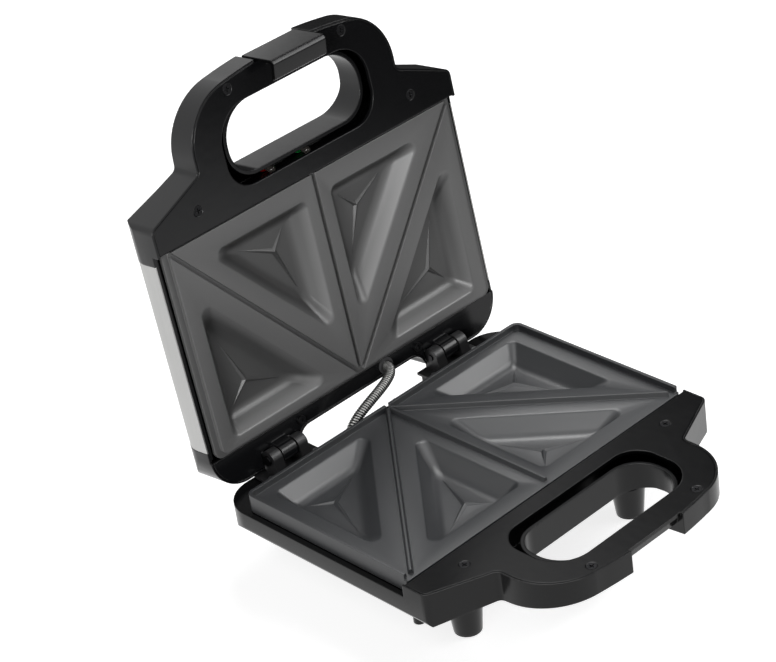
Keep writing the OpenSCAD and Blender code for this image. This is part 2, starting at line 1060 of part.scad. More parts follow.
module base_housing() {
    color(gloss_black)
        on_base()
            difference() {
                union() {
                    difference() {
                        union() {
                            base_form(base_seam);
                            slab(base_seam - 1, base_cover_top)
                                plan_before(front);
                            tub();
                            for (p = foot_places)
                                translate([p[0], p[1], 0])
                                    foot();
                        }
                        base_hollow();
                    }
                    intersection() {
                        base_form(base_cover_top - shelf - tunnel_gap);
                        union() {
                            slab(-60, 0)
                                tunnel_finger(-wall);
                            for (p = cover_screws)
                                translate([p[0], front - p[1], -60])
                                    cylinder(d = boss, h = 80);
                        }
                    }
                    for (p = cover_screws)
                        translate([p[0], front - p[1], base_cover_top - shelf - 3])
                            cylinder(d = boss, h = 3);
                    intersection() {
                        base_form(base_cover_top);
                        union() {
                            latch_block(-60, hook_ledge + wall, tunnel_far - 1);
                            difference() {
                                latch_block(-60, base_cover_top, notch_near - notch_slope - wall);
                                slab(base_cover_top - shelf, 1)
                                    plan_before(front, rim_lip);
                            }
                        }
                    }
                    for (p = concat(plate_posts, tray_posts))
                        translate([p[0], p[1], tub_floor + 1])
                            cylinder(d = boss, h = base_tray_z - tub_floor - 1);
                    posts(plate_posts, tub_floor + 1, base_post_top, boss);
                    both_sides()
                        hinge_seat();
                }
                slab(-100, 20)
                    tunnel_finger();
                leaf_cut(hook_ledge - 0.01, notch_near - notch_slope, 5, notch_near + 1.5);
                block(
                    [-latch_notch, front - handle_reach - 9, -60],
                    [latch_notch, front - tunnel_far - 1, hook_ledge]
                );
                for (p = cover_screws)
                    translate([p[0], front - p[1], base_cover_top - shelf - 12])
                        cylinder(d = screw_shank + 2 * pin_gap, h = 20);
                posts(plate_posts, tub_floor - 60, base_post_top + 1, screw_shank + 2 * pin_gap);
                posts(plate_posts, tub_floor - 60, tub_floor + 9, 5.8);
                translate([lead_base[0], lead_base[1], base_seam - 10])
                    cylinder(r = grommet_hole, h = 20);
                translate([bush_place[0], rear + 4, bush_place[1]])
                    rotate([-90, 0, 0])
                        cylinder(d = bush_diameter + 2 * pin_gap, h = 20);
                both_sides()
                    bracket_holes(base_seam - 12);
            }
}

// Thickening of the ledge under a hinge bracket
module hinge_seat() {
    translate([hinge_place - bracket_half, rear + 7, base_seam - 5])
        cube([2 * bracket_half, 11, 5]);
}

module bracket_holes(low) {
    for (p = bracket_screw_places)
        translate([hinge_place + p[0], rear + 9 + p[1] + 1.2, low])
            cylinder(d = 2.6, h = 30);
}

module foot_pads() {
    color("#2a2a2b")
        for (p = foot_places)
            translate([p[0], p[1] + set_back, 0])
                union() {
                    cylinder(r1 = foot_diameter / 2 - 1.6, r2 = foot_diameter / 2 - 0.2, h = 1);
                    translate([0, 0, 1])
                        cylinder(r = foot_diameter / 2 - 0.2, h = pad_height - 1);
                }
}

// ---- handle covers --------------------------------------------------------------------------

// A cover panel lying under z = 0
module cover_panel() {
    difference() {
        slab(-cover_thickness, 0)
            difference() {
                plan_before(front - cover_gap, rim_lip + cover_clear);
                cover_finger();
                translate([-latch_notch - 0.2, front - handle_reach - 10])
                    square([2 * latch_notch + 0.4, handle_reach + 10 - notch_near]);
            }
        for (p = cover_screws)
            translate([p[0], front - p[1], 0]) {
                translate([0, 0, -cover_thickness - 1])
                    cylinder(d = screw_shank + 0.4, h = cover_thickness + 2);
                translate([0, 0, -(screw_head - screw_shank) / 2 - 0.2])
                    cylinder(
                        r1 = screw_shank / 2 + 0.1,
                        r2 = screw_head / 2 + 0.55,
                        h = (screw_head - screw_shank) / 2 + 0.45
                    );
            }
    }
}

module cover_screw_set() {
    color(zinc)
        for (p = cover_screws)
            translate([p[0], front - p[1], -0.15])
                countersunk(screw_head, screw_shank, 10);
}

module base_handle_cover() {
    color(gloss_black)
        on_base()
            translate([0, 0, base_cover_top])
                cover_panel();
}

module base_cover_screws() {
    on_base()
        translate([0, 0, base_cover_top])
            cover_screw_set();
}

module lid_handle_cover() {
    color(gloss_black)
        on_lid()
            translate([0, 0, lid_cover_face])
                mirror([0, 0, 1])
                    cover_panel();
}

module lid_cover_screws() {
    on_lid()
        translate([0, 0, lid_cover_face])
            mirror([0, 0, 1])
                cover_screw_set();
}

module base_plate_screws() {
    color(zinc)
        on_base()
            for (p = plate_posts)
                translate([p[0], p[1], tub_floor + 9])
                    mirror([0, 0, 1])
                        pan_screw(5.4, screw_shank, base_post_top + 8 - tub_floor - 9);
}

// ---- hinge ----------------------------------------------------------------------------------

ear_gap = 1;
ear_width = 7;
knuckle_width = 11;
knuckle_radius = knuckle_diameter / 2;
pin_radius = hinge_pin / 2;
ear_inner = hinge_place - knuckle_width / 2 - ear_gap;
ear_outer = hinge_place + knuckle_width / 2 + ear_gap;

// One ear standing on the ledge from x0
module bracket_ear(x0) {
    across(x0, x0 + ear_width)
        difference() {
            union() {
                translate([hinge_y, hinge_z])
                    circle(r = knuckle_radius);
                polygon([
                    [hinge_y - knuckle_radius, hinge_z],
                    [hinge_y - knuckle_radius - 3, base_seam + 0.6],
                    [hinge_y + knuckle_radius - 0.3, base_seam + 0.6],
                    [hinge_y + knuckle_radius, hinge_z]
                ]);
            }
            translate([hinge_y, hinge_z])
                circle(r = pin_radius + pin_gap);
        }
}

bracket_rear = hinge_y + knuckle_radius - 0.3;

module base_hinge_brackets() {
    color("#3a3b3d")
        on_base()
            both_sides()
                difference() {
                    union() {
                        bracket_ear(ear_inner - ear_width);
                        bracket_ear(ear_outer);
                        block(
                            [hinge_place - bracket_half, rear + 6, base_seam],
                            [hinge_place + bracket_half, bracket_rear, base_seam + 1.6]
                        );
                    }
                    bracket_holes(base_seam - 5);
                }
}

module bracket_screws() {
    color(zinc)
        on_base()
            both_sides()
                for (p = bracket_screw_places)
                    translate([hinge_place + p[0], rear + 10.2 + p[1], base_seam + 1.6])
                        pan_screw(4, 2.5, 8);
}

module hinge_pins() {
    color("#8b8d90")
        on_base()
            both_sides()
                translate([ear_inner - ear_width - 0.8, hinge_y, hinge_z])
                    rotate([0, 90, 0])
                        union() {
                            cylinder(r = pin_radius, h = 2 * ear_width + knuckle_width + 2 * ear_gap + 1.6);
                            translate([0, 0, 2 * ear_width + knuckle_width + 2 * ear_gap + 0.8])
                                cylinder(r = pin_radius + 1.2, h = 1.4);
                        }
}

// ---- lid housing ----------------------------------------------------------------------------

lid_edge = 20;
lid_crown = 790;
crown_steps = [for (k = [5 : -1 : -5]) k * 18];
lid_shoulder = lid_top - 8.4;

module lid_front(i = 0, e = ease) {
    rounded(
        [
            [-half - e, -20],
            [half + e, -20],
            [half + e, lid_shoulder],
            for (x = crown_steps) [x, lid_top - lid_crown + sqrt(pow(lid_crown, 2) - x * x)],
            [-half - e, lid_shoulder]
        ],
        [0, 0, lid_edge, for (x = crown_steps) 0, lid_edge],
        i
    );
}

module lid_side(i = 0) {
    rounded(
        [
            [front - 100, -20],
            [rear + hinge_bulge + ease, -20],
            [rear + hinge_bulge + ease, lid_top + 0.6],
            [front + 21, lid_top + 0.6],
            [front - 30, 19],
            [front - 100, 11.6]
        ],
        [0, 0, 24, 40, 40, 0],
        i
    );
}

module lid_form(low, i = 0) {
    intersection() {
        slab(low, lid_top + 2)
            plan(i);
        across(-150, 150)
            lid_side(i);
        along(-200, 200)
            lid_front(i);
    }
}

skin_reach = rear - 6;

// The part of the lid that the steel skin wraps, moved inwards by i
module skin_band(low, i, reach) {
    intersection() {
        along(-reach, reach)
            lid_front(i, 0);
        across(-150, 150)
            lid_side(i);
        slab(low, 60)
            square(400, center = true);
    }
}

lens_places = [[-14, 10], [14, 10]];
lens_tilt = atan((lid_top - 18.4) / 51);
pivot_near = handle_reach - 5;
pivot_z = 7;
pivot_barrel = latch_pin_diameter / 2 + 1.2;
latch_room = pivot_near - pivot_barrel - 0.7;
lead_lid = [22, rear + 5.9];

// Lens positions on the front slope, z along the slope's normal
module on_slope(p) {
    translate([p[0], front - p[1], lid_top + 0.5 - (p[1] + 21) * tan(lens_tilt)])
        rotate([lens_tilt, 0, 0])
            children();
}

module lid_hollow() {
    block([-16, rear, lid_rear_face], [36, rear + recess_back - wall, lid_top - 10]);
    intersection() {
        lid_form(-20, wall + skin);
        translate([-200, partition_high, -100])
            cube([400, rear + 2 - partition_high, 300]);
    }
    intersection() {
        lid_form(lid_rear_face + cover_thickness, wall + skin);
        translate([-200, rear + 2 + wall, -100])
            cube([400, 400, 300]);
    }
    intersection() {
        lid_form(lid_cover_face + shelf, wall);
        translate([-200, partition_low - 400, -100])
            cube([400, 400, 300]);
    }
    slab(-20, lid_cover_face + shelf)
        plan_before(front + 1, rim_lip);
    slab(-20, lid_rear_face + cover_thickness)
        plan_behind(rear - 1, rim_lip);
}

// Room for the base's hinge ears behind and round the hinge axis
module ear_rooms() {
    both_sides()
        for (x = [ear_inner - ear_width, ear_outer]) {
            translate([x - 0.8, hinge_y, hinge_z])
                rotate([0, 90, 0])
                    cylinder(r = knuckle_radius + 0.8, h = ear_width + 1.6);
            block(
                [x - 0.8, hinge_y, hinge_z - 20],
                [x + ear_width + 0.8, rear + hinge_bulge + 5, hinge_z + knuckle_radius + 2.2]
            );
        }
}

rear_frame_screws_at = [[-49, rear + 6.6], [49, rear + 6.6]];

module lid_housing() {
    color(gloss_black)
        on_lid()
            difference() {
                union() {
                    difference() {
                        union() {
                            difference() {
                                lid_form(lid_side_edge);
                                difference() {
                                    block([-150, -skin_reach, -20], [150, skin_reach, 80]);
                                    skin_band(-30, skin, skin_reach + 5);
                                }
                            }
                            slab(lid_cover_face, lid_side_edge + 1)
                                plan_before(front);
                            slab(lid_rear_face, lid_side_edge + 1)
                                plan_behind(rear + 1);
                        }
                        lid_hollow();
                    }
                    intersection() {
                        lid_form(lid_cover_face + shelf + tunnel_gap);
                        union() {
                            slab(-10, 60)
                                tunnel_finger(-wall);
                            for (p = cover_screws)
                                translate([p[0], front - p[1], -10])
                                    cylinder(d = boss, h = 80);
                            latch_block(-20, 60, latch_room - wall);
                        }
                    }
                    intersection() {
                        lid_form(lid_cover_face + shelf);
                        union() {
                            for (p = cover_screws)
                                translate([p[0], front - p[1], -10])
                                    cylinder(d = boss, h = 20);
                            latch_block(-20, 60, latch_room - wall);
                        }
                    }
                    intersection() {
                        skin_band(lid_back, skin, skin_reach);
                        posts(plate_posts, lid_back, 60, boss + 1);
                    }
                    intersection() {
                        lid_form(lid_rear_face + cover_thickness);
                        posts(rear_frame_screws_at, 0, 60, boss);
                    }
                    intersection() {
                        skin_band(lid_tray_z, skin, skin_reach);
                        posts(tray_posts, lid_tray_z, 60, boss);
                    }
                }
                slab(-20, 60)
                    tunnel_finger();
                block(
                    [-latch_notch, front - handle_reach - 9, -20],
                    [latch_notch, front - latch_room, 40]
                );
                translate([-latch_notch - 1.4, front - pivot_near, pivot_z])
                    rotate([0, 90, 0])
                        cylinder(d = latch_pin_diameter + 2 * pin_gap, h = 2 * latch_notch + 2.8);
                for (p = cover_screws)
                    translate([p[0], front - p[1], -10])
                        cylinder(d = screw_shank + 2 * pin_gap, h = 21 + lid_cover_face);
                posts(rear_frame_screws_at, 0, lid_rear_face + 12, screw_shank + 2 * pin_gap);
                posts(plate_posts, 0, 60, screw_shank + 2 * pin_gap);
                posts(plate_posts, lid_back + 4, 60, 6.2);
                for (p = lens_places)
                    on_slope(p)
                        cylinder(d = lens_diameter + 2 * pin_gap, h = 20, center = true);
                ear_rooms();
            }
}

module lid_steel_skin() {
    color(steel)
        on_lid()
            difference() {
                skin_band(lid_side_edge, 0, skin_reach - 0.15);
                skin_band(lid_side_edge - 5, skin, skin_reach + 5);
            }
}

module lid_plate_screws() {
    color(zinc)
        on_lid()
            for (p = plate_posts)
                translate([p[0], p[1], lid_back + 4])
                    pan_screw(5.4, screw_shank, 12);
}

// The strip that closes the lid's underside behind the plate and carries the knuckles
module lid_rear_frame() {
    color(gloss_black)
        on_lid()
            difference() {
                union() {
                    difference() {
                        slab(lid_rear_face, lid_rear_face + cover_thickness)
                            plan_behind(rear + 1.2, rim_lip + cover_clear);
                        ear_rooms();
                    }
                    both_sides()
                        across(ear_inner + ear_gap, ear_outer - ear_gap)
                            union() {
                                translate([hinge_y, hinge_z])
                                    circle(r = knuckle_radius);
                                polygon([
                                    [hinge_y - knuckle_radius - 2, lid_rear_face + 1],
                                    [hinge_y - knuckle_radius, hinge_z],
                                    [hinge_y + knuckle_radius, hinge_z],
                                    [hinge_y + knuckle_radius - 1, lid_rear_face + 1]
                                ]);
                            }
                }
                both_sides()
                    translate([ear_inner, hinge_y, hinge_z])
                        rotate([0, 90, 0])
                            cylinder(r = pin_radius + pin_gap, h = 20);
                translate([lead_lid[0], lead_lid[1], -5])
                    cylinder(r = grommet_hole, h = 30);
                for (p = rear_frame_screws_at)
                    translate([p[0], p[1], -5])
                        cylinder(d = screw_shank + 0.4, h = 30);
            }
}

module rear_frame_screws() {
    color(zinc)
        on_lid()
            for (p = rear_frame_screws_at)
                translate([p[0], p[1], lid_rear_face])
                    mirror([0, 0, 1])
                        pan_screw(5.6, screw_shank, 10);
}

// ---- indicators -----------------------------------------------------------------------------

module lens(p) {
    on_lid()
        on_slope(p)
            union() {
                translate([0, 0, -wall - 1])
                    cylinder(d = lens_diameter, h = wall + 1.3);
                translate([0, 0, -wall - 2])
                    cylinder(d = lens_diameter + 2, h = 1.4);
                intersection() {
                    translate([0, 0, 0.3 - lens_diameter * 0.8])
                        sphere(r = lens_diameter * 0.943);
                    cylinder(d = lens_diameter, h = 4);
                }
            }
}

module power_lens() {
    color("#b3261e")
        lens(lens_places[0]);
}

module ready_lens() {
    color("#2f8f46")
        lens(lens_places[1]);
}

module indicator_bulbs() {
    color("#e8e4da")
        on_lid()
            for (p = lens_places)
                on_slope(p)
                    translate([0, 0, -wall - 8])
                        union() {
                            cylinder(d = 4.6, h = 5.95);
                            sphere(d = 4.6);
                        }
}

// ---- latch ----------------------------------------------------------------------------------

leaf_out = handle_reach - 0.3;
leaf_in = leaf_out - latch_leaf;
leaf_top = pivot_z + 3;

module latch() {
    d = pivot_barrel;
    color("#1f2022")
        on_lid()
            difference() {
                union() {
                    across(-latch_half, latch_half)
                        rounded(
                            [
                                [front - leaf_out, leaf_top],
                                [front - leaf_out, -16.2],
                                [front - leaf_out + 2.4, -18],
                                [front - 69.4, -15.9],
                                [front - 68.2, -13.6],
                                [front - 69.6, -13.3],
                                [front - leaf_in + 1.2, -15.2],
                                [front - leaf_in, -13.4],
                                [front - leaf_in, leaf_top]
                            ],
                            [0.8, 1.6, 1.2, 0.6, 0.5, 0.4, 0.8, 0.8, 0.3]
                        );
                    across(-latch_half, latch_half)
                        polygon([
                            [front - leaf_in, -9.2],
                            [front - leaf_in, -11.4],
                            [front - leaf_in + 0.8, -11],
                            [front - leaf_in + 0.8, -9.8]
                        ]);
                    across(-latch_half, latch_half)
                        union() {
                            translate([front - pivot_near, pivot_z])
                                circle(r = d);
                            polygon([
                                [front - leaf_in - 0.5, pivot_z + d - 0.4],
                                [front - leaf_in - 0.5, pivot_z - d],
                                [front - pivot_near, pivot_z - d],
                                [front - pivot_near, pivot_z + d - 0.4]
                            ]);
                        }
                }
                translate([-latch_half - 1, front - pivot_near, pivot_z])
                    rotate([0, 90, 0])
                        cylinder(r = latch_pin_diameter / 2 + pin_gap, h = latch_width + 2);
            }
}

module latch_pin() {
    color(zinc)
        on_lid()
            translate([-latch_notch - 1.2, front - pivot_near, pivot_z])
                rotate([0, 90, 0])
                    cylinder(d = latch_pin_diameter, h = 2 * latch_notch + 2.4);
}

// ---- leads ----------------------------------------------------------------------------------

lead_radius = lead_diameter / 2;
lead_bore = lead_radius + pin_gap;
grommet_flange = 1.2;

// A flanged ring whose flange lies on z = 0
module grommet(depth) {
    difference() {
        union() {
            cylinder(r = grommet_hole + 1.4, h = grommet_flange);
            translate([0, 0, -depth])
                cylinder(r = grommet_hole - pin_gap, h = depth + 0.1);
        }
        translate([0, 0, -depth - 1])
            cylinder(r = lead_bore + 0.2, h = depth + grommet_flange + 2);
    }
}

module base_lead_grommet() {
    color("#1b1b1c")
        on_base()
            translate([lead_base[0], lead_base[1], base_seam])
                grommet(wall);
}

module lid_lead_grommet() {
    color("#1b1b1c")
        on_lid()
            translate([lead_lid[0], lead_lid[1], lid_rear_face])
                mirror([0, 0, 1])
                    grommet(cover_thickness);
}

module cord_bush() {
    color("#1b1b1c")
        on_base()
            translate([bush_place[0], rear + recess_back, bush_place[1]])
                rotate([-90, 0, 0])
                    difference() {
                        union() {
                            translate([0, 0, -wall - 1.5])
                                cylinder(d = bush_diameter, h = wall + 2.5);
                            cylinder(d = bush_diameter + 3, h = 1.6);
                            translate([0, 0, -wall - 3])
                                cylinder(d = bush_diameter + 1.4, h = 3 - 0.05);
                            cylinder(r1 = bush_diameter / 2, r2 = bush_diameter / 2 - 1.5, h = 9);
                        }
                        translate([0, 0, -wall - 4])
                            cylinder(d = bush_diameter - 3.4, h = 20);
                    }
}

// A closed lid point carried to the open lid, in base levels
function opened(p) = let (
    a = -lid_open_angle,
    y = p[1] - hinge_y,
    z = p[2] - hinge_z
) [p[0], hinge_y + y * cos(a) - z * sin(a), hinge_z + y * sin(a) + z * cos(a)];
function opened_way(v) = let (a = -lid_open_angle)
    [v[0], v[1] * cos(a) - v[2] * sin(a), v[1] * sin(a) + v[2] * cos(a)];

lead_top = opened([lead_lid[0], lead_lid[1], lid_rear_face + 8]);
lead_out = opened_way([0, 0, -1]);

module link_lead() {
    low = [lead_base[0], lead_base[1], base_seam - 8];
    color("#b7b9bb")
        on_base()
            hose(
                concat(
                    [low],
                    bend(
                        [lead_base[0], lead_base[1], base_seam + 1],
                        [lead_base[0], lead_base[1], base_seam + 16],
                        lead_top + 29 * lead_out,
                        lead_top + 7 * lead_out,
                        16
                    ),
                    [lead_top]
                ),
                lead_radius, 8, up, -lead_out, [1, 0, 0]
            );
}

module lid_wiring() {
    color("#d8d2c0")
        on_lid() {
            for (s = [-1, 1])
                wire(
                    [lead_lid[0], lead_lid[1] - s * 1.7, lid_rear_face + 8], up,
                    [s * element_tail, element_rear, lid_element_z + 1.2], down, 1, 13
                );
        }
}

base_housing();
base_handle_cover();
base_cover_screws();
on_base() base_plate();
base_plate_screws();
base_element();
base_element_clamps();
base_clamp_screws();
base_reflector();
thermostat();
thermal_fuse();
terminal_block();
base_wiring();
foot_pads();
cord_bush();
base_hinge_brackets();
bracket_screws();
hinge_pins();
base_lead_grommet();
lid_housing();
lid_steel_skin();
lid_handle_cover();
lid_cover_screws();
lid_plate();
lid_plate_screws();
lid_rear_frame();
rear_frame_screws();
lid_element();
lid_element_clamps();
lid_clamp_screws();
lid_reflector();
lid_wiring();
lid_lead_grommet();
power_lens();
ready_lens();
indicator_bulbs();
latch_pin();
latch();
link_lead();
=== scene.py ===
# %% [markdown]
# # A sandwich toaster, opened on its hinge
#
# The appliance is two shallow tubs of black gloss plastic, joined at the back by a pair of
# hinges. Each tub holds a cast aluminium plate with four triangular pockets under a dark
# non-stick coating. The metal and plastic parts were drawn in CAD and arrive here as a
# finished frame, so this lesson is about surfaces, light and the one piece that a solid model
# shows too plainly: the spring-wound lead that carries power to the lid.

# %% Open the frame
import json
import math

import bpy
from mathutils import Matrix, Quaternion, Vector


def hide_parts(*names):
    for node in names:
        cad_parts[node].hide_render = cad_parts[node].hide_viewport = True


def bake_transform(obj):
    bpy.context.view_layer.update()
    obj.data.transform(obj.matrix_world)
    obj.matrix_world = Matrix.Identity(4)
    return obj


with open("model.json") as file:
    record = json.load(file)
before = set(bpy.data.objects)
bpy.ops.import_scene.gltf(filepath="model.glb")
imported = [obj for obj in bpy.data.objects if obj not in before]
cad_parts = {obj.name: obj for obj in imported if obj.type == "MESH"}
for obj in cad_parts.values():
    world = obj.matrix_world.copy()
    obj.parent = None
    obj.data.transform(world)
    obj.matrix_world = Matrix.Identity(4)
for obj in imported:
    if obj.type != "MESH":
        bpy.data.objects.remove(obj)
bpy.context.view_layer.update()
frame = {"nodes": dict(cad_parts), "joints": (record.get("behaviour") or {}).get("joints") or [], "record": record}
nodes = frame["nodes"]
slot_of = {s["node"]: s["material_slot"] for s in frame["record"]["subparts"]}

# %% [markdown]
# ## Units
#
# A toaster is measured in millimetres and Blender works in metres. One small helper keeps
# every length below readable as it would be on a drawing.


# %% Millimetres
def mm(*values):
    lengths = [v / 1000 for v in values]
    return lengths[0] if len(lengths) == 1 else Vector(lengths)


# %% [markdown]
# ## Writing shaders as sums
#
# A shader is a network of nodes, and most of that network is arithmetic: take a noise, scale
# it, add it to a roughness. Wrapping a socket in a small class lets Python's own operators add
# the Math nodes, so that a finish reads like a formula. Everything else goes through one
# method, which takes the type of a node, its settings and what its sockets are fed with.


# %% A socket that can be added and multiplied
class Signal:
    def __init__(self, network, socket):
        self.network = network
        self.socket = socket

    def maths(self, operation, a, b):
        return self.network.node("ShaderNodeMath", {"operation": operation}, {0: a, 1: b})

    def __add__(self, other):
        return self.maths("ADD", self, other)

    def __sub__(self, other):
        return self.maths("SUBTRACT", self, other)

    def __rsub__(self, other):
        return self.maths("SUBTRACT", other, self)

    def __mul__(self, other):
        return self.maths("MULTIPLY", self, other)

    __radd__ = __add__
    __rmul__ = __mul__


# %% A network of nodes, added one call at a time, for a material or for the world
class Network:
    def __init__(self, owner):
        owner.use_nodes = True
        self.tree = owner.node_tree
        self.tree.nodes.clear()

    def node(self, kind, settings=None, inputs=None, output=0):
        """One node, with its settings and with what its sockets are fed."""
        made = self.tree.nodes.new(kind)
        for name, value in (settings or {}).items():
            if name == "stops":
                ramp = made.color_ramp
                while len(ramp.elements) < len(value):
                    ramp.elements.new(0.5)
                for element, (place, colour) in zip(ramp.elements, value):
                    element.position = place
                    element.color = (*colour, 1)
            else:
                setattr(made, name, value)
        for name, value in (inputs or {}).items():
            if isinstance(value, Signal):
                self.tree.links.new(value.socket, made.inputs[name])
            else:
                made.inputs[name].default_value = value
        return Signal(self, made.outputs[output]) if made.outputs else None

    def place(self, stretch=(1, 1, 1)):
        """Where on the object a point lies, in metres, stretched along the axes."""
        here = self.node("ShaderNodeTexCoord", output="Object")
        return self.node("ShaderNodeMapping", None, {"Vector": here, "Scale": stretch})

    def ray(self, kind):
        """1 where the light path is a ray of this kind, and 0 elsewhere."""
        return self.node("ShaderNodeLightPath", output=f"Is {kind} Ray")

    def slope(self, value, start, end, first, last, form="SMOOTHSTEP"):
        """A number that goes from first to last while value goes from start to end."""
        return self.node(
            "ShaderNodeMapRange",
            {"interpolation_type": form},
            {"Value": value, "From Min": start, "From Max": end, "To Min": first, "To Max": last},
        )


# %% A finish, which is a material for one stuff
class Finish(Network):
    def __init__(self, name):
        self.material = bpy.data.materials.new(name)
        super().__init__(self.material)

    def noise(self, scale, detail=2.0, stretch=(1, 1, 1)):
        """Noise with about scale grains to the metre."""
        where = self.place(stretch)
        return self.node(
            "ShaderNodeTexNoise", None, {"Vector": where, "Scale": scale, "Detail": detail}
        )

    def blend(self, share, first, second):
        """A colour between two others."""
        return self.node(
            "ShaderNodeMix",
            {"data_type": "RGBA"},
            {"Factor": share, 6: (*first, 1), 7: (*second, 1)},
            output=2,
        )

    def bump(self, height, depth, strength=1.0, edge=None):
        """A normal from a height, where 1 is depth; edge is the radius that corners get."""
        sockets = {"Height": height, "Distance": depth, "Strength": strength}
        if edge:
            sockets["Normal"] = self.node("ShaderNodeBevel", {"samples": 6}, {"Radius": edge})
        return self.node("ShaderNodeBump", None, sockets)

    def close(self, **surface):
        """The surface itself, from a Principled shader."""
        sockets = {name.replace("_", " "): value for name, value in surface.items()}
        shader = self.node("ShaderNodeBsdfPrincipled", None, sockets)
        self.node("ShaderNodeOutputMaterial", None, {"Surface": shader})
        return self.material


# %% [markdown]
# ## Gloss black plastic
#
# The housings, the handle covers and the latch are moulded in one black plastic. What sells it
# is not the black but what lies on it: a mirror that is a little uneven because the mould was
# polished by hand, and corners that catch the light because no moulding is truly sharp. The
# Bevel node rounds the corners for the light alone, which keeps the drawn solids as they are.


# %% Moulded plastic
def moulded(name, colour, sheen, edge, ripple, specular):
    """ripple is how deep the mould's waves are, and edge the radius that corners get."""
    f = Finish(name)
    wave = f.noise(160, 1)
    dust = f.noise(2600, 3)
    handling = f.noise(34, 3)
    darker, paler = (tuple(share * c for c in colour) for share in (0.86, 1.16))
    return f.close(
        Base_Color=f.blend(dust, darker, paler),
        Roughness=handling * 0.07 + dust * 0.03 + sheen,
        Normal=f.bump(wave, ripple, 1.0, edge),
        Specular_IOR_Level=specular,
    )


gloss_black = moulded(
    "gloss_black", (0.0035, 0.0036, 0.004), 0.14, edge=mm(0.8), ripple=mm(0.03), specular=0.32
)
hinge_black = moulded(
    "hinge_black", (0.018, 0.018, 0.019), 0.34, edge=mm(0.4), ripple=mm(0.06), specular=0.5
)
print("plastics", gloss_black.name, hinge_black.name)

# %% [markdown]
# ## Non-stick coating
#
# The coating is sprayed on bare cast aluminium and baked. It is a dark grey, not a black, and
# has a soft satin with a very fine tooth where the spray dried. Its grey wanders at random
# between a paler and a darker tone. Fine noise drives the tooth, and a slower one keeps large
# flats from looking printed.
#
# On the upper plate, light is painted onto the flat lands and shade into the pockets: the colour
# is paler on the lands and darker the deeper a point lies. A dot product with the direction from
# the land into the pockets says how deep a point lies, and a slope turns that depth into a share
# of the pale colour. The direction comes from the lid's hinge and from how far the lid stands
# open on it.


# %% Sprayed coating
def sprayed(name, pale_coat, dark_coat, sheen, painted_depth_shading=None):
    """painted_depth_shading takes the finish and gives what a point's depth adds to its share of the pale colour:
    painted light on the lands and painted shade in the pockets.
    """
    f = Finish(name)
    tooth = f.noise(5200, 2)
    cloud = f.noise(22, 3)
    fleck = f.node(
        "ShaderNodeValToRGB",
        {"stops": [(0.60, (0, 0, 0)), (0.72, (1, 1, 1))]},
        {"Fac": f.noise(3400, 1)},
    )
    share = cloud * 0.5 + tooth * 0.35 + fleck * 0.15
    # Painted light on the lands and painted shade in the pockets, by how deep a point lies.
    if painted_depth_shading:
        share = share * 0.4 + painted_depth_shading(f)
    return f.close(
        Base_Color=f.blend(share, dark_coat, pale_coat),
        Roughness=tooth * 0.10 + cloud * 0.05 + sheen,
        Specular_IOR_Level=0.9,
        Normal=f.bump(tooth, mm(0.02), 0.5, mm(0.6)),
    )


# %% How deep a point lies in the upper plate, for its painted light and shade
lid_hinge = next(joint for joint in frame["joints"] if joint["name"] == "lid_hinge")
lid_angle = math.radians(lid_hinge["range_deg"][1])
into_pockets = Vector((0, math.sin(lid_angle), math.cos(lid_angle)))
land_from_hinge = mm(-0.5)
# Depths below the land over which the painted light on the land gives way to painted shade in the pockets.
painted_light_down_to, painted_shade_from = mm(1), mm(7)


# Painted light and shade for the upper plate: paler on the lands, darker deeper in the pockets.
def upper_painted_shading(f):
    land = into_pockets.dot(Vector(lid_hinge["pos_m"])) + land_from_hinge
    depth = f.node(
        "ShaderNodeVectorMath",
        {"operation": "DOT_PRODUCT"},
        {0: f.place(), 1: into_pockets},
        output=1,
    )
    return f.slope(depth, land + painted_light_down_to, land + painted_shade_from, 0.6, -0.3, form="LINEAR")


# %% The two coatings
# The upper coating's pale colour, about twice the lower's, is painted light on the upper plate's lands.
coating_upper = sprayed(
    "coating_upper", (0.075, 0.075, 0.075), (0.026, 0.026, 0.026), 0.34, upper_painted_shading
)
coating_lower = sprayed("coating_lower", (0.038, 0.040, 0.043), (0.020, 0.0215, 0.024), 0.33)
print("coatings", coating_upper.name, coating_lower.name)

# %% [markdown]
# ## Metals
#
# Six metals are on show or just inside: the brushed strip round the lid, plated screws, blackened
# screws and pins, the steel sheath of the heaters, the bright sheet that reflects their heat, and
# the wound strip of the lead. Each is a metal with its own tint; what tells them apart is the
# direction and the length of the marks on them, so one function takes a stretch for its noise.


# %% Worked metal
def worked(name, dark, light, sheen, stretch=(1, 1, 1), scale=900, spread=0.12):
    """stretch draws the marks out, and spread is how much they change the gloss."""
    f = Finish(name)
    grain = f.noise(scale, 3, stretch)
    cloud = f.noise(30, 2)
    return f.close(
        Base_Color=f.blend(grain * 0.7 + cloud * 0.3, dark, light),
        Roughness=grain * spread + sheen,
        Metallic=1.0,
        Normal=f.bump(grain, mm(0.006), 0.6, mm(0.2)),
    )


brushed_steel = worked(
    "brushed_steel", (0.42, 0.42, 0.415), (0.60, 0.60, 0.59), 0.32, (60, 60, 1), 60, 0.14
)
plated_steel = worked("plated_steel", (0.30, 0.31, 0.32), (0.50, 0.51, 0.52), 0.28)
blackened_steel = worked("blackened_steel", (0.016, 0.016, 0.017), (0.036, 0.036, 0.038), 0.36)
heater_sheath = worked("heater_sheath", (0.10, 0.095, 0.09), (0.24, 0.225, 0.21), 0.42)
bright_sheet = worked(
    "bright_sheet", (0.68, 0.69, 0.70), (0.82, 0.83, 0.84), 0.20, (1, 40, 1), 80, 0.08
)
print("metals", brushed_steel.name, plated_steel.name, blackened_steel.name)

